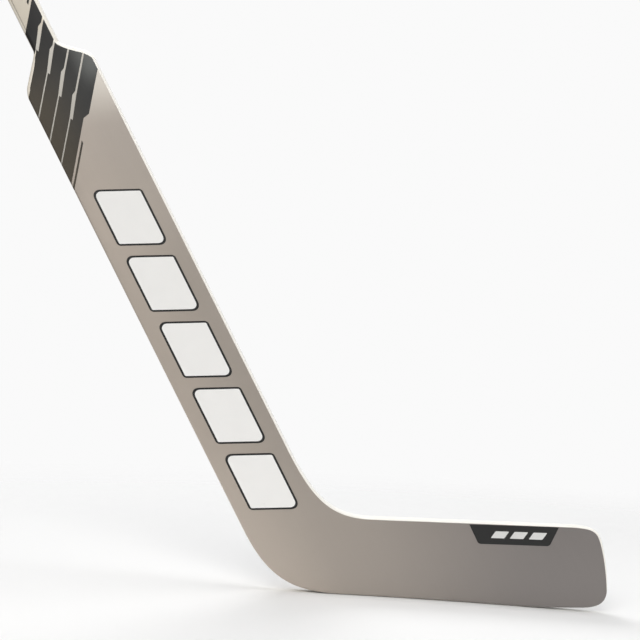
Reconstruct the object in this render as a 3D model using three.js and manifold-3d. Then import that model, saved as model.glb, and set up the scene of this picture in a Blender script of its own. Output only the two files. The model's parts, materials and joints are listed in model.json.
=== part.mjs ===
// Goaltender's ice hockey stick: a shaft, a wide paddle and a curved blade.
// Millimetres. +X runs along the blade to the toe, +Z is up, and the forehand face looks along -Y.
// The origin is on the sole, midway along its flat part.

import * as THREE from 'three';
import { mergeVertices } from 'three/addons/utils/BufferGeometryUtils.js';
import Module from 'manifold-3d';

const wasm = await Module();
wasm.setup();

// Driving dimensions
const lieDegrees = 60.2;      // paddle and shaft, measured up from the line of the sole
const heelX = -155;           // where the paddle's back edge would meet the sole
const totalLength = 1500;     // heel to butt end, along the shaft
const paddleWidth = 87.4;
const paddleTop = 664;        // where the shoulder meets the shaft
const hipHeel = 629;          // corner where the shoulder's slope meets the paddle's heel side
const hipToe = 637.4;         // and its toe side
const thickness = 22;         // paddle, and blade at the heel
const toeThickness = 16;
const bladeHeight = 88.2;     // at the elbow
const toeHeight = 94.8;
const toeX = 214.6;
const curveStartX = -58;      // the blade is flat behind this and curves forward from it
const curveDepth = 28;
const shaftWidth = 30.2;
const shaftThickness = 20.6;
const shaftCorner = 4.5;
const shaftWall = 2.4;
const tubeFoot = paddleTop - 0.5;
const edgingWidth = 4;        // moulded strip round the paddle and blade
const facingThickness = 0.9;
const facingInset = 1;        // the edging shows this much round each facing
const shoulderInset = 3.4;
const gap = 0.3;              // between neighbouring pieces
const decalThickness = 0.25;

// Paddle coordinates: side is across the paddle from its centre line, along is up from the heel.
const lie = THREE.MathUtils.degToRad(lieDegrees);
const upShaft = new THREE.Vector2(-Math.cos(lie), Math.sin(lie));
const acrossShaft = new THREE.Vector2(Math.sin(lie), Math.cos(lie));
const halfPaddle = paddleWidth / 2;
const halfShaft = shaftWidth / 2;
const centreOffset = halfPaddle - 1.65;

function onPaddle(side, along) {
  return new THREE.Vector2(heelX, 0)
    .addScaledVector(acrossShaft, side + centreOffset)
    .addScaledVector(upShaft, along);
}

function alongOf(point) {
  return (point.x - heelX) * upShaft.x + point.y * upShaft.y;
}

// Paddle-shaped pieces are outlined in side and along values.
function paddleOutline(pairs) {
  return pairs.map(([side, along]) => onPaddle(side, along));
}

function flatOutline(pairs) {
  return pairs.map(([x, z]) => new THREE.Vector2(x, z));
}

// ---- The outline of the paddle and blade, anticlockwise from the shoulder's toe side ----

function roundedCorner(path, start, corner, end, startPull = 0.55, endPull = 0.55) {
  const first = start.clone().lerp(corner, startPull);
  const second = end.clone().lerp(corner, endPull);
  path.lineTo(start.x, start.y);
  path.bezierCurveTo(first.x, first.y, second.x, second.y, end.x, end.y);
}

function lowerOutline() {
  const path = new THREE.Path();
  const start = onPaddle(halfShaft, paddleTop + 6);
  path.moveTo(start.x, start.y);
  const left = onPaddle(-halfShaft, paddleTop + 6);
  path.lineTo(left.x, left.y);
  roundedCorner(path, left, onPaddle(-halfShaft, paddleTop - 1), onPaddle(-halfShaft - 7, paddleTop - 7.7));
  roundedCorner(path, onPaddle(-halfPaddle + 4.7, hipHeel + 6), onPaddle(-halfPaddle, hipHeel),
    onPaddle(-halfPaddle, hipHeel - 9));

  // heel
  const heelCorner = onPaddle(-halfPaddle, 0.95);
  roundedCorner(path, onPaddle(-halfPaddle, 79), heelCorner, new THREE.Vector2(heelX + 70, 0), 0.74, 0.77);

  // sole, rocker and toe
  const rockerStart = new THREE.Vector2(112, 0);
  const rockerEnd = new THREE.Vector2(187, 3.9);
  const toeLow = new THREE.Vector2(toeX, 27);
  const toeHigh = new THREE.Vector2(toeX - 6.1, 70);
  const topEnd = new THREE.Vector2(172.6, toeHeight);
  roundedCorner(path, rockerStart, new THREE.Vector2(150, 0.6), rockerEnd, 0.7, 0.7);
  roundedCorner(path, rockerEnd, new THREE.Vector2(toeX, 6.2), toeLow, 0.77, 0.69);
  roundedCorner(path, toeLow, new THREE.Vector2(toeX - 0.6, 48), toeHigh, 0.6, 0.6);
  roundedCorner(path, toeHigh, new THREE.Vector2(toeX - 12.3, 95.2), topEnd, 0.86, 0.91);

  // top of the blade, elbow, and the paddle's toe side
  const elbowEnd = new THREE.Vector2(-52, bladeHeight);
  const elbowCorner = new THREE.Vector2(-106.7, bladeHeight);
  roundedCorner(path, topEnd, new THREE.Vector2(60, 90), elbowEnd, 0.6, 0.4);
  roundedCorner(path, elbowEnd, elbowCorner, onPaddle(halfPaddle, 136), 0.78, 0.78);
  roundedCorner(path, onPaddle(halfPaddle, hipToe - 8), onPaddle(halfPaddle, hipToe),
    onPaddle(halfPaddle - 6.2, hipToe + 5.8));
  roundedCorner(path, onPaddle(halfShaft + 7, paddleTop - 7), onPaddle(halfShaft, paddleTop - 1), start);
  const points = path.getPoints(9);
  return points.filter((point, i) => point.distanceTo(points[(i + 1) % points.length]) > 0.05);
}

// Moves each point inward along the outline's own normal.
function inset(points, distanceAt) {
  return points.map((point, i) => {
    const before = points[(i + points.length - 1) % points.length];
    const after = points[(i + 1) % points.length];
    const a = point.clone().sub(before).normalize();
    const b = after.clone().sub(point).normalize();
    const tangent = a.clone().add(b).normalize();
    const spread = Math.max(0.5, tangent.dot(a));
    const normal = new THREE.Vector2(-tangent.y, tangent.x);
    return point.clone().addScaledVector(normal, distanceAt(point) / spread);
  });
}

function facingInsetAt(point) {
  const rise = THREE.MathUtils.smoothstep(alongOf(point), hipHeel - 12, hipHeel + 4);
  return THREE.MathUtils.lerp(facingInset, shoulderInset, rise);
}

// ---- Solids ----

function solidOf(geometry) {
  const bare = geometry.clone();
  bare.deleteAttribute('normal');
  bare.deleteAttribute('uv');
  const merged = mergeVertices(bare, 1e-4);
  const mesh = new wasm.Mesh({
    numProp: 3,
    vertProperties: new Float32Array(merged.attributes.position.array),
    triVerts: new Uint32Array(merged.index.array),
  });
  return new wasm.Manifold(mesh);
}

// A prism of an XZ outline, between two values of y.
function prism(outline, yLow = -80, yHigh = 40) {
  const shape = new THREE.Shape(outline);
  const geometry = new THREE.ExtrudeGeometry(shape, { depth: yHigh - yLow, bevelEnabled: false });
  geometry.rotateX(Math.PI / 2);
  geometry.translate(0, yHigh, 0);
  return solidOf(geometry);
}

function bladeRun(x) {
  return Math.max(0, (x - curveStartX) / (toeX - curveStartX));
}

function frontAt(x) {
  return -thickness / 2 - curveDepth * bladeRun(x) ** 2;
}

function backAt(x) {
  return frontAt(x) + thickness - (thickness - toeThickness) * bladeRun(x);
}

// A slab that follows the curve of the blade, between two surfaces given as functions of x.
function layer(yFront, yBack) {
  const steps = 16;
  const stations = [-1000];
  for (let i = 0; i <= steps; i += 1) {
    stations.push(curveStartX + (i / steps) * (toeX + 6 - curveStartX));
  }
  const last = stations.length - 1;
  const box = new THREE.BoxGeometry(last, 2, 2, last, 1, 1);
  const position = box.attributes.position;
  for (let i = 0; i < position.count; i += 1) {
    const x = stations[Math.round(position.getX(i) + last / 2)];
    const y = position.getY(i) < 0 ? yFront(x) : yBack(x);
    position.setXYZ(i, x, y, position.getZ(i) * 1600);
  }
  return solidOf(box);
}

const coreInset = facingThickness + gap;
const coreLayer = layer((x) => frontAt(x) + coreInset, (x) => backAt(x) - coreInset);
const frontLayer = layer(frontAt, (x) => frontAt(x) + facingThickness);
const backLayer = layer((x) => backAt(x) - facingThickness, backAt);
const frontDecalLayer = layer((x) => frontAt(x) - gap - decalThickness, (x) => frontAt(x) - gap);
const backDecalLayer = layer((x) => backAt(x) + gap, (x) => backAt(x) + gap + decalThickness);

function shaftSection(width, depth, corner) {
  const x = width / 2 - corner;
  const y = depth / 2 - corner;
  const shape = new THREE.Shape();
  shape.absarc(x, y, corner, 0, Math.PI / 2);
  shape.absarc(-x, y, corner, Math.PI / 2, Math.PI);
  shape.absarc(-x, -y, corner, Math.PI, 1.5 * Math.PI);
  shape.absarc(x, -y, corner, 1.5 * Math.PI, 2 * Math.PI);
  return shape;
}

// Turns a section's local axes so that it runs up the shaft from a place on it.
function alongShaft(shape, length, from) {
  const geometry = new THREE.ExtrudeGeometry(shape, { depth: length, bevelEnabled: false, curveSegments: 4 });
  const foot = onPaddle(0, from);
  const place = new THREE.Matrix4().makeBasis(
    new THREE.Vector3(acrossShaft.x, 0, acrossShaft.y),
    new THREE.Vector3(0, 1, 0),
    new THREE.Vector3(upShaft.x, 0, upShaft.y),
  );
  place.setPosition(foot.x, 0, foot.y);
  geometry.applyMatrix4(place);
  return solidOf(geometry);
}

// ---- Materials ----

function material(color, roughness, metalness = 0) {
  return new THREE.MeshStandardMaterial({ color, roughness, metalness });
}

const silverPaint = material(0xa89e94, 0.42, 0.35);
const charcoalPaint = material(0x42403d, 0.4, 0.2);
const whiteGloss = material(0xf2f0ea, 0.25);
const blackInk = material(0x262421, 0.35);
const printWhite = material(0xedecea, 0.35);
const rawWood = material(0xc9ab7c, 0.7);
const rawFoam = material(0xe6dfc8, 0.9);
const darkCarbon = material(0x2b2b2d, 0.45);
const blackRubber = material(0x1d1d1e, 0.75);

const stick = new THREE.Group();

function addPiece(name, solid, look) {
  const mesh = solid.getMesh();
  const geometry = new THREE.BufferGeometry();
  geometry.setAttribute('position', new THREE.BufferAttribute(mesh.vertProperties, 3));
  geometry.setIndex(new THREE.BufferAttribute(mesh.triVerts, 1));
  geometry.computeVertexNormals();
  const piece = new THREE.Mesh(geometry, look);
  piece.name = name;
  stick.add(piece);
}

// ---- Edging: one moulded strip round the paddle and blade, in seven lengths ----

const outer = lowerOutline();
const neck = prism(paddleOutline([[-halfShaft - gap, paddleTop - 24], [halfShaft + gap, paddleTop - 24],
  [halfShaft + gap, paddleTop + 20], [-halfShaft - gap, paddleTop + 20]]));
const ring = prism(outer)
  .subtract(prism(inset(outer, () => edgingWidth)))
  .subtract(neck)
  .intersect(coreLayer);

const half = gap / 2;
const edgingEnds = { heel: 90, elbow: 136, front: -50, toe: 150, sole: -85 };
const edgingZones = {
  edging_paddle_heel_side: paddleOutline([[-60, edgingEnds.heel + half], [0, edgingEnds.heel + half],
    [0, 720], [-60, 720]]),
  edging_paddle_toe_side: paddleOutline([[0, edgingEnds.elbow + half], [60, edgingEnds.elbow + half],
    [60, 720], [0, 720]]),
  edging_elbow: [onPaddle(5, edgingEnds.elbow - half), onPaddle(5, 60),
    new THREE.Vector2(edgingEnds.front - half, 60), new THREE.Vector2(edgingEnds.front - half, 180),
    onPaddle(60, edgingEnds.elbow - half)],
  edging_blade_top: flatOutline([[edgingEnds.front + half, 45], [edgingEnds.toe - half, 45],
    [edgingEnds.toe - half, 120], [edgingEnds.front + half, 120]]),
  edging_toe: flatOutline([[edgingEnds.toe + half, -20], [240, -20], [240, 120], [edgingEnds.toe + half, 120]]),
  edging_sole: flatOutline([[edgingEnds.sole + half, -20], [edgingEnds.toe - half, -20],
    [edgingEnds.toe - half, 45], [edgingEnds.sole + half, 45]]),
  edging_heel: [onPaddle(-60, edgingEnds.heel - half), new THREE.Vector2(-260, -20),
    new THREE.Vector2(edgingEnds.sole - half, -20), new THREE.Vector2(edgingEnds.sole - half, 40),
    onPaddle(0, edgingEnds.heel - half)],
};
for (const [name, zone] of Object.entries(edgingZones)) {
  addPiece(name, ring.intersect(prism(zone)), whiteGloss);
}

// ---- Core: the shaft's tongue, foam either side of it, the heel block and the blade ----

const tongueWidth = 26;
const tongueFoot = 60;
const coreSplit = 150;        // paddle foam stops here and the heel block begins
const heelBlockFront = -60;
const ribLow = 42;
const ribHeight = 5;
const coreRegion = prism(inset(outer, () => edgingWidth + gap))
  .subtract(prism(paddleOutline([[-40, tubeFoot - gap], [40, tubeFoot - gap], [40, 720], [-40, 720]])))
  .intersect(coreLayer);

function tongueOutline(extra) {
  const w = tongueWidth / 2 + extra;
  return paddleOutline([[-w, tongueFoot - extra], [w, tongueFoot - extra], [w, 720], [-w, 720]]);
}

const tongue = coreRegion.intersect(prism(tongueOutline(0)));
const boreWidth = shaftWidth - 2 * shaftWall;
const boreDepth = shaftThickness - 2 * shaftWall;
const spigotSection = shaftSection(boreWidth - 2 * gap, boreDepth - 2 * gap, 1.8);
const spigot = alongShaft(spigotSection, 90, paddleTop - 1.5);
addPiece('shaft_tongue', tongue.add(spigot), rawWood);

const aroundTongue = coreRegion.subtract(prism(tongueOutline(gap)));
const foamTop = paddleTop + 20;
addPiece('paddle_core_heel_side', aroundTongue.intersect(prism(paddleOutline(
  [[-60, coreSplit], [0, coreSplit], [0, foamTop], [-60, foamTop]]))), rawFoam);
addPiece('paddle_core_toe_side', aroundTongue.intersect(prism(paddleOutline(
  [[0, coreSplit], [60, coreSplit], [60, foamTop], [0, foamTop]]))), rawFoam);
addPiece('heel_block', aroundTongue.intersect(prism([onPaddle(-80, coreSplit - gap), new THREE.Vector2(-320, -20),
  new THREE.Vector2(heelBlockFront, -20), new THREE.Vector2(heelBlockFront, 110),
  onPaddle(80, coreSplit - gap)])), rawWood);

function bladeBand(zLow, zHigh) {
  return coreRegion.intersect(prism(flatOutline([[heelBlockFront + gap, zLow], [240, zLow],
    [240, zHigh], [heelBlockFront + gap, zHigh]])));
}

addPiece('blade_core_lower', bladeBand(-10, ribLow - gap), rawFoam);
addPiece('blade_rib', bladeBand(ribLow, ribLow + ribHeight), darkCarbon);
addPiece('blade_core_upper', bladeBand(ribLow + ribHeight + gap, 110), rawFoam);

// ---- Facings: painted laminate skins on both sides ----

const facingRegion = prism(inset(outer, facingInsetAt))
  .subtract(prism(paddleOutline([[-40, tubeFoot - gap], [40, tubeFoot - gap], [40, 720], [-40, 720]])));
addPiece('front_facing', facingRegion.intersect(frontLayer), silverPaint);
addPiece('back_facing', facingRegion.intersect(backLayer), silverPaint);

// ---- Shaft: a hollow composite tube with painted facings and a plug in the butt end ----

const plugHead = 7;
const plugSpigot = 28;
const tubeTop = totalLength - plugHead - gap;
const tubeOuter = shaftSection(shaftWidth, shaftThickness, shaftCorner);
const tube = alongShaft(tubeOuter, tubeTop - tubeFoot, tubeFoot)
  .subtract(alongShaft(shaftSection(boreWidth, boreDepth, 2), tubeTop - tubeFoot + 10, tubeFoot - 5));
addPiece('shaft_tube', tube, whiteGloss);

const plug = alongShaft(tubeOuter, plugHead, totalLength - plugHead)
  .add(alongShaft(spigotSection, plugSpigot + 1, totalLength - plugHead - plugSpigot));
addPiece('butt_plug', plug, blackRubber);

const shaftFaceHalf = 12.9;
const shaftFace = paddleOutline([[-shaftFaceHalf, tubeFoot], [shaftFaceHalf, tubeFoot],
  [shaftFaceHalf, tubeTop], [-shaftFaceHalf, tubeTop]]);
const shaftFaceY = shaftThickness / 2 + 0.2;
addPiece('shaft_front_facing', prism(shaftFace, -thickness / 2, -shaftFaceY), silverPaint);
addPiece('shaft_back_facing', prism(shaftFace, shaftFaceY, thickness / 2), silverPaint);

// ---- Slanted bands across the shoulder, with thin lines of base colour between them ----

const bandSlope = 1.317;
const bandPitch = 28.8;
const firstLine = 592.2;      // along value, on the centre line, of the lowest line between bands
const lineWidth = 3.2;
const lineWide = 7.4;         // widest, just below its chamfered end
const bandReach = 46;

function slanted(pairs) {
  return paddleOutline(pairs.map(([side, along]) => [side, along + bandSlope * side]));
}

function bandFoot(line) {
  return [[-bandReach, line + 4.9], [-10.8, line + 4.6], [3, line + lineWide], [7.7, line + 0.4 + lineWidth],
    [bandReach, line + 0.4 + lineWidth]];
}

function bandHead(line) {
  return [[bandReach, line + 0.4], [7, line + 0.2], [-9.6, line - 1.8], [-10.8, line + 2.3], [-bandReach, line + 2.3]];
}

const lowestFoot = [[-bandReach, 570.4], [2.6, 570.8], [10, 562.7], [bandReach, 562.1]];
const topEdge = firstLine + 4 * bandPitch;
const highestHead = [[bandReach, topEdge], [-bandReach, topEdge]];
const bandOutlines = [];
for (let i = 0; i < 5; i += 1) {
  const line = firstLine + i * bandPitch;
  const foot = i === 0 ? lowestFoot : bandFoot(line - bandPitch);
  const head = i === 4 ? highestHead : bandHead(line);
  bandOutlines.push(slanted([...foot, ...head]));
}

const shaftStrip = prism(paddleOutline([[-shaftFaceHalf, paddleTop - 20], [shaftFaceHalf, paddleTop - 20],
  [shaftFaceHalf, totalLength - 40], [-shaftFaceHalf, totalLength - 40]]));
const decalRegion = prism(inset(outer, facingInsetAt))
  .subtract(prism(paddleOutline([[-40, paddleTop + 1], [40, paddleTop + 1], [40, 720], [-40, 720]])))
  .add(shaftStrip);
bandOutlines.forEach((outline, i) => {
  const region = i === 4 ? shaftStrip : decalRegion;
  const band = prism(outline).intersect(region);
  addPiece(`front_band_${i + 1}`, band.intersect(frontDecalLayer), charcoalPaint);
  addPiece(`back_band_${i + 1}`, band.intersect(backDecalLayer), charcoalPaint);
});

const stripeOutlines = {
  front_stripe_lower: slanted([[-bandReach, 562.9], [-10.5, 562.9], [-10.5, 566.7], [-bandReach, 566.7]]),
  front_stripe_upper: slanted([[3.4, topEdge + 4.6], [bandReach, topEdge + 4.6],
    [bandReach, topEdge + 8.4], [3.4, topEdge + 8.4]]),
};
for (const [name, outline] of Object.entries(stripeOutlines)) {
  addPiece(name, prism(outline).intersect(decalRegion).intersect(frontDecalLayer), charcoalPaint);
}

// ---- Row of plain slanted blocks down the paddle, each with a dark border ----

const blockCount = 5;
const blockFirst = 117;       // along value of the lowest block's centre
const blockPitch = 83.4;
const blockLength = 66;
const blockHalfWidth = 24;
const blockSlant = -0.47;
const borderWidth = 2.6;

function blockOutline(along, grow) {
  const w = blockHalfWidth + grow;
  const l = blockLength / 2 + grow;
  const cut = 9;
  const corners = [[-w, -l], [w - cut, -l], [w, -l + cut], [w, l], [-w + cut, l], [-w, l - cut]];
  return paddleOutline(corners.map(([side, rise]) => [side - 0.8, along + rise + blockSlant * side]));
}

for (let i = 0; i < blockCount; i += 1) {
  const along = blockFirst + i * blockPitch;
  const block = prism(blockOutline(along, 0));
  const border = prism(blockOutline(along, borderWidth)).subtract(prism(blockOutline(along, gap)));
  addPiece(`front_block_${i + 1}`, block.intersect(frontDecalLayer), printWhite);
  addPiece(`front_border_${i + 1}`, border.intersect(frontDecalLayer), blackInk);
  addPiece(`back_block_${i + 1}`, block.intersect(backDecalLayer), printWhite);
}

// ---- Label at the top of the blade near the toe, with three plain bars let into it ----

const label = prism(flatOutline([[71.5, 67.4], [73.2, 66.7], [147.2, 69.7], [149.6, 71], [158.5, 91.6],
  [59.3, 87.7]]));
let labelPlate = label;
for (let i = 0; i < 3; i += 1) {
  const x = 84 + i * 21;
  const z = 74.2 + i * 0.8;
  const bar = (grow) => prism(flatOutline([[x - grow, z - grow], [x + 15 + grow, z + 0.6 - grow],
    [x + 20 + grow, z + 8.6 + grow], [x + 5 - grow, z + 8 + grow]]));
  labelPlate = labelPlate.subtract(bar(gap));
  addPiece(`label_bar_${i + 1}`, bar(0).intersect(frontDecalLayer), printWhite);
}
addPiece('label_plate', labelPlate.intersect(frontDecalLayer), blackInk);

export default stick;
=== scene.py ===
import json
import math

import bpy
import numpy as np
from mathutils import Matrix, Vector
from mathutils.geometry import delaunay_2d_cdt


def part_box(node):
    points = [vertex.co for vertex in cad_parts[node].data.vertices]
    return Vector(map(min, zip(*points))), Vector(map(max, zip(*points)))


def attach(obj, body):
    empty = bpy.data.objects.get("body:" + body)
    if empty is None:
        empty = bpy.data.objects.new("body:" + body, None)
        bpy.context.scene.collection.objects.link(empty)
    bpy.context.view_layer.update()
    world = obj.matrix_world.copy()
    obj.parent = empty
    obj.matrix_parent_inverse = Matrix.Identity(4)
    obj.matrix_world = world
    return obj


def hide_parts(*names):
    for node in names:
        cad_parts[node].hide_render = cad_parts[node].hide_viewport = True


# Goaltender's stick. Lengths are in millimetres here and become metres as each mesh is made.
# +X runs to the toe, +Z is up, and the forehand face looks along -Y.

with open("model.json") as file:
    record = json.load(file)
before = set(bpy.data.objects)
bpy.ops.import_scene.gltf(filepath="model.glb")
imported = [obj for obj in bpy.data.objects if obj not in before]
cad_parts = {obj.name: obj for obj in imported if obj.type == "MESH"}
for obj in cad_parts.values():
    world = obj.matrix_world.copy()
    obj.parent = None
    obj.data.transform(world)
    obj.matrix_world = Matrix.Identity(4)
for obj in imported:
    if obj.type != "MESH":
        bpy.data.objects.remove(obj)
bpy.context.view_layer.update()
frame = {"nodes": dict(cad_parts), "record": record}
mounts = {m["name"]: m for m in frame["record"]["mounts"]}
mm = 0.001

stick = {
    "length": 1500,  # heel to butt end
    "shaftWidth": 30.2,
    "paddleWidth": 87.4,
    "paddleTop": 664,  # where the shoulder meets the shaft
    "hipHeel": 629,  # the shoulder's slope meets the paddle's heel side here
    "hipToe": 637.4,  # and its toe side here
    "neckSide": 7,  # the shoulder's straight slope starts this far outside the shaft
    "neckDrop": 7.4,  # and this far below paddleTop
    "neckFade": (652, 662),  # the shaft's wider corner fades in between these
    "slopeFoot": 600,  # no shoulder slope below this
    "bandSlope": 1.317,  # climb of the slanted bands for each unit across
    "heelCurve": 79,  # the heel starts to round off here, up the paddle
    "thickness": 22,
    "toeThickness": 16,
    "curveStart": -58,  # the blade is flat behind this
    "curveDepth": 28,
    "bladeHeight": 88.2,
    "toeHeight": 94.8,
    "elbowTop": 136,
    "edgeRadius": 2.0,  # softened corner of the edging
    "shoulderRadius": 3.6,
    "shaftRadius": 4.5,
    "paintInset": 0.4,  # white shows outside this
    "paintInsetTop": 2.2,
    "paintInsetSlope": 4.0,
    "paintInsetShaft": 3.2,
}

buttCentre = np.array(mounts["butt_end"]["pos_m"])[[0, 2]] / mm
upShaft = np.array(mounts["butt_end"]["axis"])[[0, 2]]
across = np.array([upShaft[1], -upShaft[0]])
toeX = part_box("edging_toe")[1].x / mm
halfShaft = stick["shaftWidth"] / 2
halfPaddle = stick["paddleWidth"] / 2


def onPaddle(side, along):
    return buttCentre + across * side + upShaft * (along - stick["length"])


def alongOf(points):
    return (np.asarray(points) - buttCentre) @ upShaft + stick["length"]


def sideOf(points):
    return (np.asarray(points) - buttCentre) @ across


def smooth(value, low, high):
    t = np.clip((value - low) / (high - low), 0, 1)
    return t * t * (3 - 2 * t)


def bladeRun(x):
    return np.maximum(0, (x - stick["curveStart"]) / (toeX - stick["curveStart"]))


def frontY(x):
    return -stick["thickness"] / 2 - stick["curveDepth"] * bladeRun(x) ** 2


def backY(x):
    return frontY(x) + stick["thickness"] - (stick["thickness"] - stick["toeThickness"]) * bladeRun(x)


# Outline, anticlockwise seen from the front: down the heel side, along the sole, round the toe and back up.

def roundCorner(start, corner, end, pullStart=0.55, pullEnd=0.55, steps=22):
    start, corner, end = (np.asarray(p, float) for p in (start, corner, end))
    a = start + (corner - start) * pullStart
    b = end + (corner - end) * pullEnd
    t = np.linspace(0, 1, steps + 1)[:, None]
    return start * (1 - t) ** 3 + 3 * a * t * (1 - t) ** 2 + 3 * b * t * t * (1 - t) + end * t**3


def straight(start, end, spacing=14):
    count = max(1, round(float(np.linalg.norm(end - start)) / spacing))
    return start + (end - start) * np.linspace(0, 1, count + 1)[:, None]


# For each shoulder, the neck's corner: its height from paddleTop, how far above it the curve starts, and how far
# down the slope it ends, as a share of neckSide and neckDrop. Then how far the hip's corner reaches in, up and down.
shoulders = {
    "heel": {"sign": -1, "hip": stick["hipHeel"], "neck": 1.5, "rise": 2.4, "run": 0.45, "cut": (4.7, 6, 9)},
    "toe": {"sign": 1, "hip": stick["hipToe"], "neck": -1.3, "rise": 3, "run": 1, "cut": (6.2, 5.8, 8)},
}
blade = {
    "heelCorner": 0.95,  # up the paddle
    "heelRun": 71.9,  # from the heel's corner to the flat sole
    "soleEnd": (-102.6, 0), "rocker": (-27.6, 3.9), "toeLow": (0, 27), "toeHigh": (-6.1, 70),  # from the toe's tip
    "rockerCorner": (0, 6.2), "toeCorner": (-0.6, 48), "topCorner": (-12.3, 95.2), "topEnd": -42,
    "soleCorner": (150, 0.6), "topBend": (60, 90), "elbowEnd": -52, "elbowCorner": -106.7,  # from the origin
}


def shoulder(part):
    top = stick["paddleTop"] + part["neck"]
    inward, rise, drop = part["cut"]
    pairs = [
        (halfShaft, top + part["rise"]), (halfShaft, top),
        (halfShaft + stick["neckSide"] * part["run"], top - (stick["neckDrop"] + part["neck"]) * part["run"]),
        (halfPaddle - inward, part["hip"] + rise), (halfPaddle, part["hip"]), (halfPaddle, part["hip"] - drop),
    ]
    return [onPaddle(part["sign"] * side, along) for side, along in pairs]


def fromToe(name):
    x, z = blade[name]
    return np.array([toeX + x, z])


def stickOutline():
    left, right = shoulder(shoulders["heel"]), shoulder(shoulders["toe"])
    heelCorner = onPaddle(-halfPaddle, blade["heelCorner"])
    heelStart = onPaddle(-halfPaddle, stick["heelCurve"])
    heelEnd = np.array([heelCorner[0] + blade["heelRun"], 0])
    soleEnd, rocker, toeLow, toeHigh = (fromToe(name) for name in ("soleEnd", "rocker", "toeLow", "toeHigh"))
    topEnd = np.array([toeX + blade["topEnd"], stick["toeHeight"]])
    elbowEnd = np.array([blade["elbowEnd"], stick["bladeHeight"]])
    elbowCorner = np.array([blade["elbowCorner"], stick["bladeHeight"]])
    elbowStart = onPaddle(halfPaddle, stick["elbowTop"])
    butt = stick["length"]
    runs = [
        straight(onPaddle(-halfShaft, butt), left[0], 24),
        roundCorner(*left[:3]),
        straight(left[2], left[3], 3),
        roundCorner(*left[3:]),
        straight(left[5], heelStart),
        roundCorner(heelStart, heelCorner, heelEnd, 0.74, 0.77, 40),
        straight(heelEnd, soleEnd),
        roundCorner(soleEnd, blade["soleCorner"], rocker, 0.7, 0.7),
        roundCorner(rocker, fromToe("rockerCorner"), toeLow, 0.77, 0.69, 28),
        roundCorner(toeLow, fromToe("toeCorner"), toeHigh, 0.6, 0.6),
        roundCorner(toeHigh, fromToe("topCorner"), topEnd, 0.86, 0.91, 28),
        roundCorner(topEnd, blade["topBend"], elbowEnd, 0.6, 0.4, 30),
        roundCorner(elbowEnd, elbowCorner, elbowStart, 0.78, 0.78, 40),
        straight(elbowStart, right[5]),
        roundCorner(*right[:2:-1]),
        straight(right[3], right[2], 3),
        roundCorner(*right[2::-1]),
        straight(right[0], onPaddle(halfShaft, butt), 24),
    ]
    return np.concatenate([runs[0]] + [run[1:] for run in runs[1:]])


outline = stickOutline()
tangents = np.gradient(outline, axis=0)
tangents /= np.linalg.norm(tangents, axis=1)[:, None]
outward = np.stack([tangents[:, 1], -tangents[:, 0]], axis=1)
outlineAlong = alongOf(outline)
outlineSide = sideOf(outline)
leftHalf = outlineSide < 0
onShaft = smooth(outlineAlong, *stick["neckFade"])
slopeFrom, slopeFull = np.where(leftHalf, 0.06, 0.12), np.where(leftHalf, 0.4, 0.6)
onSlope = smooth(outward @ upShaft, slopeFrom, slopeFull) * (outlineAlong > stick["slopeFoot"]) * (1 - onShaft)
onPaddleOrBlade = 1 - onShaft - onSlope
facesUp = smooth(outward[:, 1] + 0.35 * outward[:, 0], 0.2, 0.7)  # elbow, blade top and the paddle's toe side
cornerRadius = (
    stick["edgeRadius"] * onPaddleOrBlade + stick["shoulderRadius"] * onSlope + stick["shaftRadius"] * onShaft
)
paintInset = (
    (stick["paintInset"] + (stick["paintInsetTop"] - stick["paintInset"]) * facesUp) * onPaddleOrBlade
    + stick["paintInsetSlope"] * onSlope
    + stick["paintInsetShaft"] * onShaft
)


def insetLine(distance, picked=slice(None)):
    return (outline - outward * np.broadcast_to(distance, len(outline))[:, None])[picked]


def edgeReach(points, batch=500):
    # distance to the outline, outward direction and corner radius there, for each point
    points = np.asarray(points, float)
    a, b = outline[:-1], outline[1:]
    run = b - a
    lengths = (run**2).sum(1)
    reach = np.empty(len(points))
    away = np.empty((len(points), 2))
    radius = np.empty(len(points))
    for first in range(0, len(points), batch):
        some = slice(first, first + batch)
        part = points[some]
        t = np.clip(((part[:, None] - a) * run).sum(2) / lengths, 0, 1)
        near = a + run * t[..., None]
        gaps = np.linalg.norm(part[:, None] - near, axis=2)
        best = gaps.argmin(1)
        rows = np.arange(len(part))
        mix = t[rows, best][:, None]
        reach[some] = gaps[rows, best]
        away[some] = outward[best] * (1 - mix) + outward[best + 1] * mix
        radius[some] = cornerRadius[best] * (1 - mix[:, 0]) + cornerRadius[best + 1] * mix[:, 0]
    return reach, away, radius


# Raises flat points onto the painted surface: face -1 is the front, 1 is the back, lift is outward.

def ontoFace(points, face, lift):
    points = np.asarray(points, float)
    reach, away, radius = edgeReach(points)
    lean = np.clip((radius - reach) / radius, 0, 0.985)
    level = np.sqrt(1 - lean**2)
    drop = radius * (1 - level)
    x = points[:, 0] + away[:, 0] * lift * lean
    z = points[:, 1] + away[:, 1] * lift * lean
    y = frontY(x) if face < 0 else backY(x)
    y = y + face * (lift * level - drop)
    return np.stack([x, y, z], axis=1)


def addMesh(name, points, faces, material, replaced=(), sharpAngle=32):
    mesh = bpy.data.meshes.new(name)
    mesh.from_pydata([Vector(p) * mm for p in points], [], [list(map(int, f)) for f in faces])
    mesh.validate()
    mesh.shade_smooth()
    mesh.set_sharp_from_angle(angle=math.radians(sharpAngle))
    mesh.materials.append(material)
    piece = bpy.data.objects.new(name, mesh)
    bpy.context.scene.collection.objects.link(piece)
    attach(piece, "root")
    if replaced:
        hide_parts(*replaced)
    return piece


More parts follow.
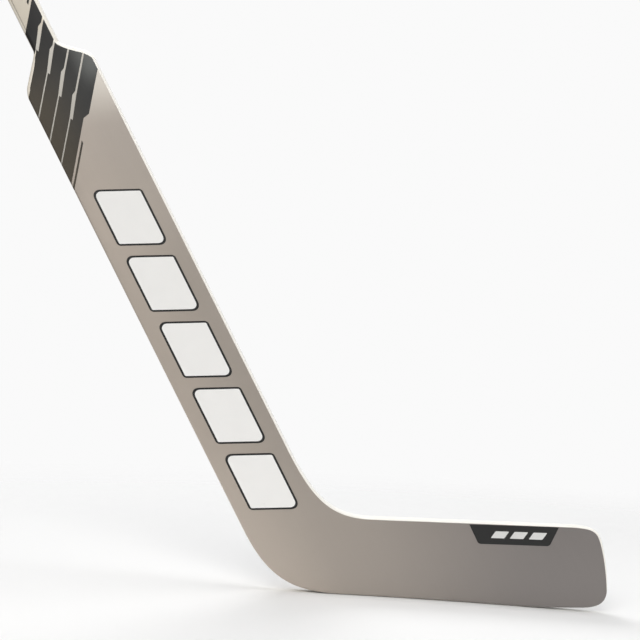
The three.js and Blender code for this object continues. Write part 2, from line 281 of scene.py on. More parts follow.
def ringMesh(name, rings, material, replaced, closed=False):
    # a skin over rings of points, capped at both ends unless the last ring joins the first
    size, count = len(rings[0]), len(rings)
    points = [p for ring in rings for p in ring]
    faces = []
    for r in range(count if closed else count - 1):
        here, there = r * size, (r + 1) % count * size
        for k in range(size):
            n = (k + 1) % size
            faces.append((here + k, here + n, there + n, there + k))
    if not closed:
        faces.append(range(size)[::-1])
        faces.append(range((count - 1) * size, count * size))
    return addMesh(name, points, faces, material, replaced)


def insideLoop(points, loop):
    x, z = points[:, 0][:, None], points[:, 1][:, None]
    a, b = loop, np.roll(loop, -1, axis=0)
    crosses = (a[:, 1] > z) != (b[:, 1] > z)
    rise = np.where(a[:, 1] == b[:, 1], 1e-9, b[:, 1] - a[:, 1])
    at = a[:, 0] + (z - a[:, 1]) * (b[:, 0] - a[:, 0]) / rise
    return (crosses & (x < at)).sum(1) % 2 == 1


# A thin plate that lies on the curved face: inside every kept loop, outside every cut loop. Guides are lines that
# its triangles follow, and spacing adds points across its middle.

def facePlate(name, kept, face, lift, sink, material, replaced=(), cut=(), guides=(), spacing=None, clear=8):
    coords, edges = [], []
    for loop, closed in [*((k, True) for k in kept), *((c, True) for c in cut), *((g, False) for g in guides)]:
        first = len(coords)
        coords += [Vector(p) for p in loop]
        edges += [(first + i, first + i + 1) for i in range(len(loop) - 1)]
        if closed:
            edges.append((first + len(loop) - 1, first))
    if spacing:
        low, high = kept[0].min(0), kept[0].max(0)
        grid = np.stack(np.meshgrid(
            np.arange(low[0] + 1, high[0], spacing), np.arange(low[1] + 1, high[1], spacing)), -1).reshape(-1, 2)
        grid = grid[insideLoop(grid, kept[0])]
        if len(grid):
            grid = grid[edgeReach(grid)[0] > clear]
        coords += [Vector(p) for p in grid]
    found, _, triangles, *_ = delaunay_2d_cdt(coords, edges, [], 0, 1e-4)
    flat = np.array([tuple(v) for v in found])
    triangles = np.array(triangles)
    middles = flat[triangles].mean(1)
    keep = np.ones(len(triangles), bool)
    for loop in kept:
        keep &= insideLoop(middles, np.asarray(loop))
    for loop in cut:
        keep &= ~insideLoop(middles, np.asarray(loop))
    triangles = triangles[keep]
    used, triangles = np.unique(triangles, return_inverse=True)
    triangles = triangles.reshape(-1, 3)
    flat = flat[used]
    a, b, c = (flat[triangles[:, i]] for i in range(3))
    turn = (b[:, 0] - a[:, 0]) * (c[:, 1] - a[:, 1]) - (b[:, 1] - a[:, 1]) * (c[:, 0] - a[:, 0])
    solid = np.abs(turn) > 1e-7
    triangles, turn = triangles[solid], turn[solid]
    wrongWay = turn < 0 if face < 0 else turn > 0
    triangles[wrongWay] = triangles[wrongWay][:, ::-1]
    count = len(flat)
    points = np.concatenate([ontoFace(flat, face, lift), ontoFace(flat, face, -sink)])
    sides = {}
    for triangle in triangles:
        for i in range(3):
            sides[(triangle[i], triangle[(i + 1) % 3])] = True
    rim = [(p, q) for p, q in sides if (q, p) not in sides]
    faces = list(triangles) + [t[::-1] + count for t in triangles]
    faces += [(q, p, p + count, q + count) for p, q in rim]
    return addMesh(name, points, faces, material, replaced)


print("outline ready:", len(outline), "points")


# Materials. A Signal is a socket that adds Math nodes when it stands in an expression.

class Signal:
    def __init__(self, finish, socket):
        self.finish = finish
        self.socket = socket

    def join(self, operation, first, second):
        return self.finish.node("ShaderNodeMath", {"operation": operation}, {0: first, 1: second})

    def __add__(self, other):
        return self.join("ADD", self, other)

    __radd__ = __add__

    def __sub__(self, other):
        return self.join("SUBTRACT", self, other)

    def __rsub__(self, other):
        return self.join("SUBTRACT", other, self)

    def __mul__(self, other):
        return self.join("MULTIPLY", self, other)

    __rmul__ = __mul__


class Finish:
    def __init__(self, name, kind="materials"):
        self.owner = getattr(bpy.data, kind).new(name)
        self.owner.use_nodes = True
        self.tree = self.owner.node_tree
        self.tree.nodes.clear()

    def node(self, kind, settings=None, sockets=None, out=0):
        made = self.tree.nodes.new(kind)
        for key, value in (settings or {}).items():
            setattr(made, key, value)
        for key, value in (sockets or {}).items():
            if isinstance(value, Signal):
                self.tree.links.new(value.socket, made.inputs[key])
            else:
                made.inputs[key].default_value = value
        return Signal(self, made.outputs[out]) if len(made.outputs) else None

    def mix(self, factor, first, second):
        return self.node(
            "ShaderNodeMix", {"data_type": "RGBA", "clamp_factor": True}, {0: factor, 6: first, 7: second}, 2
        )

    def here(self):
        return self.node("ShaderNodeTexCoord", out="Object")

    def place(self, scale=(1, 1, 1), turn=0.0):
        # object coordinates in metres, turned about Y and then stretched
        turned = self.node("ShaderNodeMapping", {}, {"Vector": self.here(), "Rotation": (0, turn, 0)})
        return self.node("ShaderNodeMapping", {}, {"Vector": turned, "Scale": scale})

    def noise(self, vector, scale, detail=3, roughness=0.5):
        return self.node(
            "ShaderNodeTexNoise", {}, {"Vector": vector, "Scale": scale, "Detail": detail, "Roughness": roughness}
        )

    def ramp(self, value, low, high):
        return self.node(
            "ShaderNodeMapRange", {"interpolation_type": "SMOOTHSTEP"}, {0: value, 1: low, 2: high, 3: 0, 4: 1}
        )

    def bump(self, height, strength, distance):
        return self.node("ShaderNodeBump", {}, {"Height": height, "Strength": strength, "Distance": distance})

    def surface(self, sockets):
        shader = self.node("ShaderNodeBsdfPrincipled", {}, sockets)
        self.node("ShaderNodeOutputMaterial", {}, {"Surface": shader})
        return self.owner


def colour(red, green, blue):
    # display values 0 to 255, turned into linear light
    def linear(v):
        v /= 255
        return v / 12.92 if v <= 0.04045 else ((v + 0.055) / 1.055) ** 2.4

    return (linear(red), linear(green), linear(blue), 1)


grainTurn = math.pi / 2 - math.atan2(upShaft[1], -upShaft[0])  # turns the grain to run along the shaft

silverLook = {
    # painted shade: the heel side is lighter than the toe side, and the blade darkens towards the toe
    "heelSide": colour(188, 176, 164),
    "toeSide": colour(170, 160, 150),
    "toe": colour(126, 120, 117),
    # painted highlight: the lighter colour of the patch beside the bands near the shoulder
    "shoulder": colour(204, 198, 189),
    "lines": colour(173, 169, 161),
    "shaft": colour(175, 167, 153),
    "shaftTop": colour(158, 150, 139),
    "toeFade": (-0.14, 0.165),  # along x, in metres, as are the heights below
    "upperFade": (0.44, 0.56),
    # where the painted highlight fades in, up the paddle and towards the toe side
    "paintedHighlight": (0.56, 0.626),
    "underBands": (0.582, 0.592),
    "shaftFade": (0.672, 0.695),
    "shaftTopFade": (0.7, 0.82),
    "flake": 0.1,
    "flakeScale": 2600,
    "peelScale": 420,
    "roughness": 0.38,
}
bandLook = {
    # painted reflection and shade: warmer and lighter on the heel side, darker towards the top; the sheen colour is
    # a painted highlight
    "heelSide": colour(79, 72, 61),
    "toeSide": colour(50, 50, 49),
    "top": colour(24, 23, 23),
    "sheen": colour(104, 106, 104),
    "topFade": (0.6, 0.7),  # up the paddle, in metres, and the sheen across it and up it
    "sheenSide": (0.012, 0.04),
    "sheenHeight": (0.592, 0.628),
    "peelScale": 420,
    "roughness": 0.42,
}


def paddleCoordinates(f):
    # distances across the paddle and up from the heel, in metres
    origin = onPaddle(0, 0) * mm
    fromHeel = f.node("ShaderNodeVectorMath", {"operation": "SUBTRACT"}, {0: f.here(), 1: (origin[0], 0, origin[1])})
    return [
        f.node("ShaderNodeVectorMath", {"operation": "DOT_PRODUCT"}, {0: fromHeel, 1: (way[0], 0, way[1])}, "Value")
        for way in (across, upShaft)
    ]


def silverPaint():
    f = Finish("silver satin paint")
    look = silverLook
    side, along = paddleCoordinates(f)
    x = f.node("ShaderNodeSeparateXYZ", {}, {0: f.here()})
    # painted shade: lighter on the heel side, darker on the toe side and towards the toe of the blade
    base = f.mix(f.ramp(side, -halfPaddle * mm, halfPaddle * mm), look["heelSide"], look["toeSide"])
    base = f.mix(f.ramp(x, *look["toeFade"]), base, look["toe"])
    base = f.mix(f.ramp(along, *look["upperFade"]) * 0.25, base, look["toe"])
    # painted highlight: a lighter patch beside the bands, towards the toe side of the shoulder
    base = f.mix(f.ramp(along + side * 0.35, *look["paintedHighlight"]) * 0.8, base, look["shoulder"])
    base = f.mix(f.ramp(along - side * stick["bandSlope"], *look["underBands"]), base, look["lines"])
    base = f.mix(f.ramp(along, *look["shaftFade"]), base, look["shaft"])
    base = f.mix(f.ramp(along, *look["shaftTopFade"]), base, look["shaftTop"])
    cloud = f.noise(f.place(), 9, 2)
    streak = f.noise(f.place((260, 260, 6), grainTurn), 1, 3)
    flake = f.node("ShaderNodeTexVoronoi", {}, {"Vector": f.place(), "Scale": look["flakeScale"]}, "Color")
    fleck = f.node("ShaderNodeSeparateColor", {}, {0: flake})
    shade = 0.5 + (cloud - 0.5) * 0.35 + (streak - 0.5) * 0.12 + (fleck - 0.5) * look["flake"]
    painted = f.mix(shade, f.mix(0.1, base, (0.02, 0.02, 0.02, 1)), f.mix(0.06, base, (1, 0.98, 0.95, 1)))
    peel = f.noise(f.place(), look["peelScale"], 2)
    rough = look["roughness"] + (streak - 0.5) * 0.06 + (cloud - 0.5) * 0.05
    return f.surface({
        "Base Color": painted, "Metallic": 0.45, "Roughness": rough,
        "Normal": f.bump(peel, 0.05, 0.0002), "Coat Weight": 0.2, "Coat Roughness": 0.25,
    })


def charcoalPaint():
    f = Finish("charcoal band paint")
    look = bandLook
    side, along = paddleCoordinates(f)
    # painted reflection and shade: warmer and lighter on the heel side, darker towards the top
    base = f.mix(f.ramp(side, -0.045, 0.02), look["heelSide"], look["toeSide"])
    base = f.mix(f.ramp(along, *look["topFade"]), base, look["top"])
    # painted sheen: a lighter patch on the toe side of the bands
    sheen = f.ramp(side, *look["sheenSide"]) * f.ramp(along, *look["sheenHeight"])
    base = f.mix(sheen, base, look["sheen"])
    streak = f.noise(f.place((300, 300, 8), grainTurn), 1, 3)
    cloud = f.noise(f.place(), 22, 3)
    shade = 0.5 + (streak - 0.5) * 0.3 + (cloud - 0.5) * 0.5
    painted = f.mix(shade, f.mix(0.2, base, (0, 0, 0, 1)), f.mix(0.015, base, (1, 1, 1, 1)))
    peel = f.noise(f.place(), look["peelScale"], 2)
    return f.surface({
        "Base Color": painted, "Specular IOR Level": 0.2, "Roughness": look["roughness"] + (streak - 0.5) * 0.1,
        "Normal": f.bump(peel, 0.05, 0.0002), "Coat Weight": 0.08, "Coat Roughness": 0.3,
    })


def whiteGloss(name, look):
    f = Finish(name)
    side, _ = paddleCoordinates(f)
    cloud = f.noise(f.place(), 14, 3)
    rubbed = f.noise(f.place((40, 40, 3), grainTurn), 3, 5, 0.6)
    # painted shade: the heel side is a darker cream than the toe side
    base = f.mix(f.ramp(side, -0.03, 0.02), look["heelSide"], look["toeSide"])
    base = f.mix(f.ramp(cloud, 0.35, 0.75) * 0.5, base, look["toeSide"])
    marked = f.mix(f.ramp(rubbed, 0.6, 0.8) * 0.25, base, look["rubbed"])
    ripple = f.noise(f.place(), 90, 2)
    return f.surface({
        "Base Color": marked, "Roughness": 0.24 + rubbed * 0.12, "Normal": f.bump(ripple, 0.03, 0.0003),
        "Coat Weight": 0.3, "Coat Roughness": 0.12,
    })


def printInk(name, ink, specks, roughness):
    f = Finish(name)
    cloud = f.noise(f.place(), 60, 3)
    dots = f.noise(f.place(), 1500, 1)
    base = f.mix(cloud * 0.5 + dots * 0.5, ink, specks)
    return f.surface({
        "Base Color": base, "Roughness": roughness + (cloud - 0.5) * 0.1,
        "Normal": f.bump(dots, 0.04, 0.0001), "Coat Weight": 0.06, "Coat Roughness": 0.2,
    })


def plugRubber():
    f = Finish("plug rubber")
    grain = f.noise(f.place(), 900, 4)
    scuff = f.noise(f.place(), 70, 4, 0.65)
    base = f.mix(f.ramp(scuff, 0.5, 0.8) * 0.4, colour(30, 30, 31), colour(70, 69, 67))
    return f.surface({
        "Base Color": base, "Roughness": 0.62 + (scuff - 0.5) * 0.25, "Normal": f.bump(grain, 0.3, 0.0003),
    })


def coreWood():
    f = Finish("core hardwood")
    rings = f.noise(f.place((30, 30, 1.2), grainTurn), 3, 5, 0.6)
    fibre = f.noise(f.place((900, 900, 14), grainTurn), 1, 3)
    base = f.mix(rings * 0.75 + fibre * 0.25, colour(150, 116, 76), colour(216, 188, 142))
    return f.surface({
        "Base Color": base, "Roughness": 0.55 + fibre * 0.2, "Normal": f.bump(fibre, 0.25, 0.0003),
    })


def coreFoam():
    f = Finish("core foam")
    cells = f.node("ShaderNodeTexVoronoi", {}, {"Vector": f.place(), "Scale": 900})
    cloud = f.noise(f.place(), 30, 3)
    base = f.mix(f.ramp(cells, 0.1, 0.8) * 0.6 + cloud * 0.3, colour(206, 196, 168), colour(244, 238, 220))
    return f.surface({"Base Color": base, "Roughness": 0.9, "Normal": f.bump(cells, 0.5, 0.0004)})


def carbonRib():
    f = Finish("carbon rib")
    weave = f.node("ShaderNodeTexChecker", {}, {"Vector": f.place((500, 500, 500), math.pi / 4), "Scale": 1}, "Fac")
    fibre = f.noise(f.place((60, 60, 2000)), 1, 2)
    base = f.mix(weave * 0.6 + fibre * 0.4, colour(26, 26, 28), colour(62, 62, 66))
    return f.surface({"Base Color": base, "Roughness": 0.3 + weave * 0.15, "Coat Weight": 0.4})


silver = silverPaint()
charcoal = charcoalPaint()
# the heel side's darker cream is painted shade
edgingLook = {
    "heelSide": colour(228, 215, 194), "toeSide": colour(243, 240, 233), "rubbed": colour(198, 188, 172),
}
shaftLook = {
    "heelSide": colour(224, 210, 188), "toeSide": colour(236, 232, 223), "rubbed": colour(196, 185, 168),
}
edgingWhite = whiteGloss("edging white gloss", edgingLook)
shaftWhite = whiteGloss("shaft cream gloss", shaftLook)
blackInk = printInk("black ink", colour(6, 6, 6), colour(16, 15, 14), 0.5)
whiteInk = printInk("white ink", colour(238, 237, 235), colour(243, 242, 240), 0.3)
labelInk = printInk("label grey ink", colour(205, 205, 203), colour(226, 226, 225), 0.34)
rubber = plugRubber()
hiddenLooks = {
    "shaft_tongue": coreWood(), "heel_block": coreWood(), "blade_rib": carbonRib(),
    "paddle_core_heel_side": coreFoam(), "paddle_core_toe_side": coreFoam(),
    "blade_core_lower": coreFoam(), "blade_core_upper": coreFoam(),
}
for name, look in hiddenLooks.items():
    node = frame["nodes"][name]
    node.data.materials.clear()
    node.data.materials.append(look)
print("materials ready")


# Painted facings on both sides of the paddle and blade, and on the shaft.

facing = {
    "lift": 0.08, "sink": 0.3, "spacing": 9,
    "joint": 663.5,  # the paddle's skin ends and the shaft's starts here
    "top": 1491,
    "overlaps": (14, 6),  # how far the two loops run past the joint before they are cut
}
lowerPart = outlineAlong < facing["joint"] + facing["overlaps"][0]
upperPart = outlineAlong > facing["joint"] - facing["overlaps"][1]


def rollLines(keepPart, fractions=(0.3, 0.55, 0.8, 1.0)):
    # lines that follow the softened corner, between the paint's edge and the flat
    flatFrom = np.maximum(cornerRadius * 1.02, paintInset + 0.5)
    return [insetLine(paintInset + (flatFrom - paintInset) * f, keepPart) for f in fractions]


def crossing(start, end, reach=60):
    # a loop right across the stick, between two heights
    return np.array([onPaddle(*p) for p in ((-reach, start), (reach, start), (reach, end), (-reach, end))])


paddleLoop = insetLine(paintInset, lowerPart)
shaftSides = [upperPart & leftHalf, upperPart & ~leftHalf]
shaftLoop = np.concatenate([insetLine(paintInset, half) for half in shaftSides])
shaftGuides = [g for half in shaftSides for g in rollLines(half)]
belowJoint, aboveJoint = crossing(facing["joint"], 500), crossing(facing["joint"], 700)
aboveTop = crossing(facing["top"], 1600)
for face, word in ((-1, "front"), (1, "back")):
    facePlate(f"{word}_facing", [paddleLoop], face, facing["lift"], facing["sink"], silver,
              [f"{word}_facing"], cut=[aboveJoint], guides=rollLines(lowerPart), spacing=facing["spacing"])
    facePlate(f"shaft_{word}_facing", [shaftLoop], face, facing["lift"], facing["sink"], silver,
              [f"shaft_{word}_facing"], cut=[belowJoint, aboveTop], guides=shaftGuides)
print("facings ready")


# Edging: one profile swept round the outline, in the same seven lengths as the frame.

edging = {
    "arcSteps": 7, "depth": 4.9,
    "neckRise": 3.85,  # starts this far above paddleTop
    "neckProud": 0.06,  # and stands out this much where it meets the shaft, above neckFoot
    "neckFoot": 660,
    "cuts": {"heel": 90, "elbow": 136.5, "front": -50, "toe": 150, "sole": -85},  # where the lengths meet
}


def edgeProfile(radius):
    # inward distance and depth below the face, from under the facing to the side wall
    angles = np.linspace(0, math.pi / 2, edging["arcSteps"] + 1)
    return [(edging["depth"], 0)] + [(radius * (1 - math.sin(t)), radius * (1 - math.cos(t))) for t in angles]


def sweptLength(name, picked, material, replaced):
    rings = []
    for i in picked:
        half = edgeProfile(cornerRadius[i])
        proud = edging["neckProud"] if outlineAlong[i] > edging["neckFoot"] else 0
        flats = [(*(outline[i] - outward[i] * (inward - proud)), depth) for inward, depth in half]
        front = [(x, frontY(x) + depth, z) for x, z, depth in flats]
        back = [(x, backY(x) - depth, z) for x, z, depth in flats]
        rings.append(back + front[::-1])
    return ringMesh(name, rings, material, replaced)


cuts = edging["cuts"]
neckTop = stick["paddleTop"] + edging["neckRise"]
order = np.arange(len(outline))
heelSide = (outlineSide < 0) & (outlineAlong < neckTop) & (outlineAlong > cuts["heel"])
outlineX, outlineZ = outline.T
firstHeel = order[heelSide][-1]
soleAt = order[(outlineX > cuts["sole"]) & (outlineZ < 5)][0]
toeAt = order[(outlineX > cuts["toe"]) & (outlineZ < 8)][0]
topAt = order[(outlineX > cuts["toe"]) & (outlineZ > 60)][-1]
frontAt = order[(outlineX > cuts["front"]) & (outlineZ > 60)][-1]
toeSide = (outlineSide > 0) & (outlineX < -60)
elbowAt = order[toeSide & (outlineAlong < cuts["elbow"]) & (outlineAlong > 100)][-1]
neckLeft = order[heelSide][0]
neckRight = order[toeSide & (outlineAlong < neckTop) & (outlineAlong > 600)][-1]
lengths = {
    "edging_paddle_heel_side": (neckLeft - 1, firstHeel),
    "edging_heel": (firstHeel, soleAt),
    "edging_sole": (soleAt, toeAt),
    "edging_toe": (toeAt, topAt),
    "edging_blade_top": (topAt, frontAt),
    "edging_elbow": (frontAt, elbowAt),
    "edging_paddle_toe_side": (elbowAt, neckRight),
}
for name, (first, last) in lengths.items():
    sweptLength(name, range(first, last + 1), edgingWhite, [name])
print("edging ready")


# Shaft tube and butt plug: rounded rectangles stacked up the shaft.

shaft = {"foot": 655, "plug": 7, "cornerSteps": 7, "wall": 2.4, "sections": 36, "gap": 0.3, "spigot": 26}


def sectionPoints(halfWidth, halfDepth, radius, along):
    points = []
    for cx, cy, start in ((1, 1, 0), (-1, 1, 90), (-1, -1, 180), (1, -1, 270)):
        for k in range(shaft["cornerSteps"] + 1):
            t = math.radians(start + 90 * k / shaft["cornerSteps"])
            side = cx * (halfWidth - radius) + radius * math.cos(t)
            y = cy * (halfDepth - radius) + radius * math.sin(t)
            x, z = onPaddle(side, along)
            points.append((x, y, z))
    return points


# Each section is its half width, half depth, corner radius and height.
halfThick = stick["thickness"] / 2
wall, gap = shaft["wall"], shaft["gap"]
plugFoot = stick["length"] - shaft["plug"]
tubeTop = plugFoot - gap
tubeSections = [
    (halfShaft, halfThick, stick["shaftRadius"], a)
    for a in np.linspace(shaft["foot"], tubeTop - gap, shaft["sections"])
] + [
    (halfShaft - gap, halfThick - gap, stick["shaftRadius"] - gap, tubeTop),
    (halfShaft - wall, halfThick - wall, 2.2, tubeTop),
    (halfShaft - wall, halfThick - wall, 2.2, shaft["foot"]),
]
ringMesh("shaft_tube", [sectionPoints(*section) for section in tubeSections], shaftWhite,
         ["shaft_tube"], closed=True)

plugSections = [
    (halfShaft - wall - gap, halfThick - wall - gap, 2, plugFoot - shaft["spigot"]),
    (halfShaft - wall - gap, halfThick - wall - gap, 2, plugFoot - 0.1),
    (halfShaft - 0.5, halfThick - 0.5, 4.2, plugFoot - 0.1),
    (halfShaft - 0.1, halfThick - 0.1, 4.5, plugFoot + 0.3),
    (halfShaft, halfThick, 4.6, plugFoot + 0.9),
    (halfShaft, halfThick, 4.6, plugFoot + 3.8),
]
for k in range(1, 7):  # the cap's rounded shoulder
    t = k / 6 * math.pi / 2
    pull = 2.6 * (1 - math.cos(t))
    plugSections.append((halfShaft - pull, halfThick - pull, 4.6, plugFoot + 3.8 + 2.6 * math.sin(t)))
plugSections += [  # a shallow dish in its top
    (halfShaft - 4.6, halfThick - 4.6, 4.2, plugFoot + 6.9),
    (halfShaft - 5.4, halfThick - 5.4, 3.8, plugFoot + 6.1),
    (halfShaft - 6.2, halfThick - 6.2, 3.4, plugFoot + 5.9),
    (halfShaft - 10, halfThick - 9.4, 1.4, plugFoot + 6.0),
]
ringMesh("butt_plug", [sectionPoints(*section) for section in plugSections], rubber, ["butt_plug"])
print("shaft ready")


# Slanted bands across the shoulder, with thin lines of base paint between, and two thin stripes.

bands = {
    "count": 5, "pitch": 28.8, "firstLine": 592.2, "line": 3.2, "wideLine": 7.4,
    "lowEdge": 570.8, "lowEdgeToe": 562.7, "reach": 48, "lift": 0.2, "sink": 0.05,
    "wrap": 0.9,  # inset where the bands run round the shaft's corner
    "wrapFade": (660, 665),
    "top": 800,  # nothing printed above this
}


def slanted(pairs):
    return np.array([onPaddle(side, along + stick["bandSlope"] * side) for side, along in pairs])


# The two bands that meet at a light line: the foot of the one above and the head of the one below. The line is
# widest near the middle.

def bandFoot(line):
    upper = line + 0.4 + bands["line"]
    return [(-bands["reach"], line + 4.9), (-10.8, line + 4.6), (3, line + bands["wideLine"]), (7.7, upper),
            (bands["reach"], upper)]


def bandHead(line):
    return [(bands["reach"], line + 0.4), (7, line + 0.2), (-9.6, line - 1.8), (-10.8, line + 2.3),
            (-bands["reach"], line + 2.3)]


# on the shaft the bands run over the softened corner on the heel side
wrapped = smooth(outlineAlong, *bands["wrapFade"]) * leftHalf
bandInset = paintInset * (1 - wrapped) + bands["wrap"] * wrapped
printed = outlineAlong < bands["top"]
bandArea = insetLine(bandInset, printed)
bandFlat = np.maximum(cornerRadius * 1.02, bandInset + 0.5)
bandGuides = [
    insetLine(bandInset + (bandFlat - bandInset) * f, printed & (outlineAlong > 400) & half)
    for f in (0.15, 0.3, 0.5, 0.75, 1.0) for half in (leftHalf, ~leftHalf)
]
topEdge = bands["firstLine"] + (bands["count"] - 1) * bands["pitch"]
onlyShaft = crossing(640, 790, 15)
reach = bands["reach"]
for i in range(bands["count"]):
    line = bands["firstLine"] + i * bands["pitch"]
    last = i == bands["count"] - 1
    if i == 0:
        foot = [(-reach, bands["lowEdge"] - 0.4), (2.6, bands["lowEdge"]), (10, bands["lowEdgeToe"]),
                (reach, bands["lowEdgeToe"] - 0.6)]
    else:
        foot = bandFoot(line - bands["pitch"])
    head = [(reach, topEdge), (-reach, topEdge)] if last else bandHead(line)
    kept = [slanted(foot + head), bandArea] + ([onlyShaft] if last else [])
    for face, word in ((-1, "front"), (1, "back")):
        facePlate(f"{word}_band_{i + 1}", kept, face, bands["lift"], bands["sink"], charcoal,
                  [f"{word}_band_{i + 1}"], guides=bandGuides)

stripes = {
    "lower": [(-48, 562.9), (-10.5, 562.9), (-10.5, 566.6), (-48, 566.6)],
    "upper": [(3.4, topEdge + 4.6), (48, topEdge + 4.6), (48, topEdge + 8.4), (3.4, topEdge + 8.4)],
}
for word, pairs in stripes.items():
    facePlate(f"front_stripe_{word}", [slanted(pairs), bandArea], -1, bands["lift"], bands["sink"], charcoal,
              [f"front_stripe_{word}"], guides=bandGuides)
print("bands ready")


# Row of slanted blocks down the paddle, each with a dark border.

blocks = {
    "count": 5, "first": 117, "pitch": 83.4, "length": 66, "halfWidth": 24, "slant": -0.47, "shift": -0.8,
    "border": 2.4, "bigCorner": 9, "smallCorner": 1.2, "lift": 0.2, "sink": 0.05,
}


def roundedLoop(corners, radii, steps=8):
    loop = []
    count = len(corners)
    for i, radius in enumerate(radii):
        here, before, after = (np.asarray(corners[j % count], float) for j in (i, i - 1, i + 1))
        toBefore = (before - here) / np.linalg.norm(before - here)
        toAfter = (after - here) / np.linalg.norm(after - here)
        loop += list(roundCorner(here + toBefore * radius, here, here + toAfter * radius, steps=steps))
    return np.array(loop)


def blockLoop(along, grow):
    w = blocks["halfWidth"] + grow
    h = blocks["length"] / 2 + grow
    big, small = blocks["bigCorner"] + grow, blocks["smallCorner"] + grow
    corners = [onPaddle(side + blocks["shift"], along + rise + blocks["slant"] * side)
               for side, rise in ((-w, -h), (w, -h), (w, h), (-w, h))]
    return roundedLoop(corners, (small, big, small, big))


for i in range(blocks["count"]):
    along = blocks["first"] + i * blocks["pitch"]
    inner, outer = blockLoop(along, 0), blockLoop(along, blocks["border"])
    for face, word in ((-1, "front"), (1, "back")):
        facePlate(f"{word}_block_{i + 1}", [inner], face, blocks["lift"], blocks["sink"], whiteInk,
                  [f"{word}_block_{i + 1}"])
        facePlate(f"{word}_border_{i + 1}", [outer], face, blocks["lift"], blocks["sink"], blackInk,
                  [f"{word}_border_{i + 1}"] if face < 0 else (), cut=[inner])
print("blocks ready")


# Label at the top of the blade near the toe, with three plain bars in it.

label = {
    "lift": 0.2, "sink": 0.05, "corners": [(70.6, 66.6), (149.3, 69.8), (158.5, 91.9), (59.3, 87.8)],
    "bars": 3, "barStart": (84, 74.2), "barStep": (21, 0.8), "barShape": [(0, 0), (15, 0.6), (20, 8.6), (5, 8)],
}
labelLoop = roundedLoop(label["corners"], (3, 3, 0.4, 0.4))
bars = []
for i in range(label["bars"]):
    x, z = (start + i * step for start, step in zip(label["barStart"], label["barStep"]))
    bars.append(roundedLoop([(x + right, z + rise) for right, rise in label["barShape"]], (1, 1, 1, 1)))
columns = [np.array([(x, 60.0), (x, 98.0)]) for x in range(62, 160, 6)]  # so that the plates follow the curve
facePlate("label_plate", [labelLoop], -1, label["lift"], label["sink"], blackInk, ["label_plate"],
          cut=bars, guides=columns)
for i, bar in enumerate(bars):
    facePlate(f"label_bar_{i + 1}", [bar], -1, label["lift"], label["sink"], labelInk,
              [f"label_bar_{i + 1}"], guides=columns)
print("label ready")


# Floor, light and camera.

stage = {
    "floorRadius": 6.0, "floorDrop": 0.0006, "floorTone": 0.82, "floorFade": (0.45, 1.5),
    "backdrop": 0.955, "surround": 0.25, "glance": (0.6, 0.95),
    "camera": (-0.1219, -1.811, 0.308), "roll": 3.3, "halfWidth": 0.3616, "reach": 1.8, "sensor": 36,
}
lights = {  # place, aim, size, power and tint
    "key": ((-0.5, -2.4, 1.9), (-0.4, 0, 0.45), (1.75, 1.45), 52, (1, 0.985, 0.96)),
    "top": ((-0.1, 0.15, 2.4), (-0.1, 0.1, 0), (2.2, 1.2), 17, (1, 1, 1)),
    "toe side": ((1.6, -0.1, 1.4), (0, 0, 0.3), (0.9, 1.4), 9, (1, 1, 1)),
    "back": ((-0.9, 2.2, 2.3), (-0.3, 0, 0.5), (1.6, 1.6), 44, (1, 1, 1)),
}


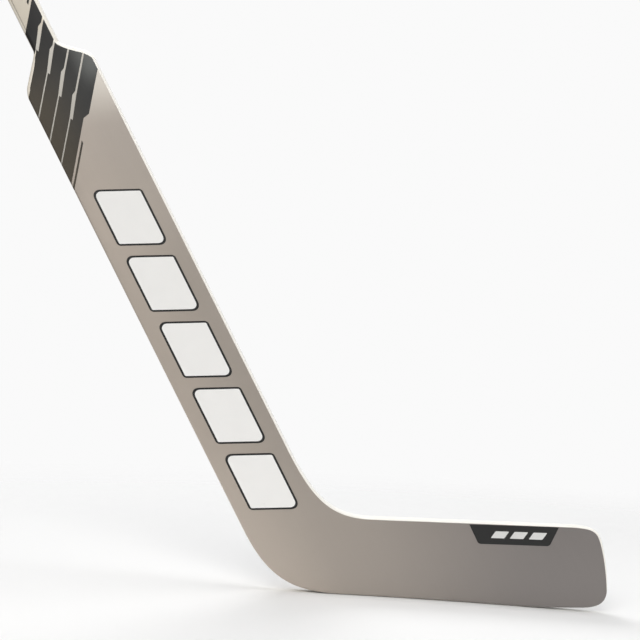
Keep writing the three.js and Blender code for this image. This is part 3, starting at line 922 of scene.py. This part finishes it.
def discFloor(radius, steps=96):
    angles = [2 * math.pi * k / steps for k in range(steps)]
    points = [(radius * math.cos(t), radius * math.sin(t), -stage["floorDrop"]) for t in angles]
    mesh = bpy.data.meshes.new("studio floor")
    mesh.from_pydata(points, [], [list(range(steps))])
    f = Finish("studio floor")
    away = f.node("ShaderNodeVectorMath", {"operation": "LENGTH"}, {0: f.here()}, "Value")
    tone = stage["floorTone"]
    matt = f.node("ShaderNodeBsdfPrincipled", {}, {"Base Color": (tone, tone, tone, 1), "Roughness": 0.8})
    clear = f.node("ShaderNodeBsdfTransparent")
    shader = f.node("ShaderNodeMixShader", {}, {0: f.ramp(away, *stage["floorFade"]), 1: matt, 2: clear})
    f.node("ShaderNodeOutputMaterial", {}, {"Surface": shader})
    mesh.materials.append(f.owner)
    floor = bpy.data.objects.new("studio floor", mesh)
    bpy.context.scene.collection.objects.link(floor)


def softLight(name, place, aim, size, power, tint):
    lamp = bpy.data.lights.new(name, "AREA")
    lamp.shape = "RECTANGLE"
    lamp.size, lamp.size_y = size
    lamp.energy = power
    lamp.color = tint
    light = bpy.data.objects.new(name, lamp)
    light.location = place
    light.rotation_euler = (Vector(aim) - Vector(place)).to_track_quat("-Z", "Y").to_euler()
    bpy.context.scene.collection.objects.link(light)


def studioSky():
    # an even backdrop, which also shows in glancing reflections, and a dim surround that lights the rest
    f = Finish("studio", "worlds")
    bpy.context.scene.world = f.owner
    seen = f.node("ShaderNodeBackground", {}, {0: (1, 1, 1, 1), 1: stage["backdrop"]})
    around = f.node("ShaderNodeBackground", {}, {0: (0.97, 0.985, 1, 1), 1: stage["surround"]})
    toward = f.node("ShaderNodeTexCoord", out="Generated")
    behind = f.ramp(f.node("ShaderNodeSeparateXYZ", {}, {0: toward}, "Y"), *stage["glance"])
    direct = f.node("ShaderNodeLightPath", out="Is Camera Ray")
    glossy = f.node("ShaderNodeLightPath", out="Is Glossy Ray")
    mixed = f.node("ShaderNodeMixShader", {}, {0: direct + glossy * behind, 1: around, 2: seen})
    f.node("ShaderNodeOutputWorld", {}, {0: mixed})


discFloor(stage["floorRadius"])
studioSky()
for name, settings in lights.items():
    softLight(name, *settings)

camera = bpy.data.cameras.new("camera")
camera.sensor_width = stage["sensor"]
camera.lens = stage["sensor"] / 2 * stage["reach"] / stage["halfWidth"]
camera.clip_start, camera.clip_end = 0.05, 60
view = bpy.data.objects.new("camera", camera)
bpy.context.scene.collection.objects.link(view)
roll = math.radians(stage["roll"])
right = Vector((math.cos(roll), 0, math.sin(roll)))
up = Vector((-math.sin(roll), 0, math.cos(roll)))
back = right.cross(up)
view.matrix_world = Matrix.Translation(stage["camera"]) @ Matrix((right, up, back)).transposed().to_4x4()
bpy.context.scene.camera = view
bpy.context.scene.view_settings.view_transform = "Standard"

print("stage ready")
